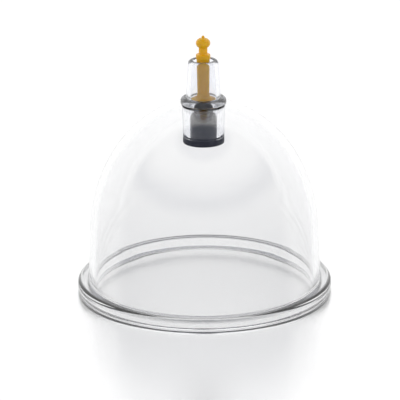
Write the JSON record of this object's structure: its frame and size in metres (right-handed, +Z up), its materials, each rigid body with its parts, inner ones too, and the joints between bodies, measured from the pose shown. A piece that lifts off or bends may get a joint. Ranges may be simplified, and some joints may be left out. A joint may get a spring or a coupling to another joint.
{
  "type": "vacuum cupping cup",
  "caption": "Clear plastic dome-shaped vacuum cupping cup with a flanged rim and a pull-pin valve in a clear pump nozzle on its crown, sealed by black rubber.",
  "frame": {"origin": "centre of the rim's resting plane, on the cup's axis", "axes": "+Z up along the axis of the dome, the nozzle and the pull pin; the cup is round, so +X and +Y are any two directions across it"},
  "size_m": [0.08, 0.08, 0.0822],
  "materials": {
    "clear_dome": "polished clear polycarbonate",
    "clear_valve": "polished clear polycarbonate",
    "yellow_plastic": "moulded, slightly translucent, semi-gloss",
    "black_rubber_stopper": "moulded, satin",
    "black_rubber_bung": "moulded, satin"
  },
  "bodies": {
    "cup": {"cup_dome": "clear_dome", "valve_body": "clear_valve", "valve_bung": "black_rubber_bung"},
    "pin": {"pull_pin": "yellow_plastic", "pin_stopper": "black_rubber_stopper"}
  },
  "joints": [
    {"name": "pin_lift", "type": "slide", "parent": "cup", "child": "pin", "axis": [0, 0, 1], "range_m": [0, 0.003]}
  ]
}
